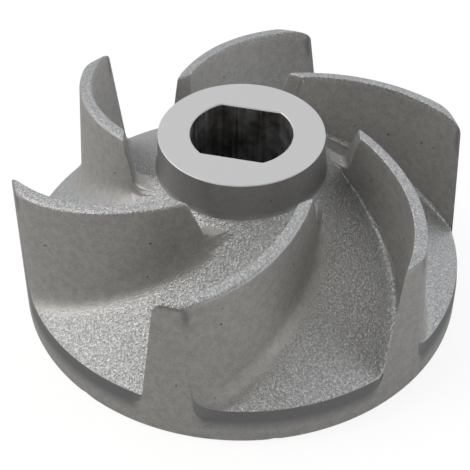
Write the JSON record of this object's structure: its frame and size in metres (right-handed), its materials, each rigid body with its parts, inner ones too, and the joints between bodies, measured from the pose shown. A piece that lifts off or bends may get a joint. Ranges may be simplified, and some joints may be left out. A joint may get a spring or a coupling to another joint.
{
  "type": "pump impeller",
  "caption": "Semi-open cast aluminium pump impeller: a dished disc with backward-swept curved vanes round a tall hub with a double-D shaft bore.",
  "frame": {"origin": "on the shaft axis, in the plane of the rim's and the boss's back faces", "axes": "+Z along the shaft axis towards the open vane side, +X along the two flats of the bore, +Y completing a right-handed set"},
  "size_m": [0.09, 0.09, 0.038],
  "materials": {
    "cast_aluminium": "satin"
  },
  "bodies": {
    "root": {"impeller": "cast_aluminium"}
  },
  "joints": []
}
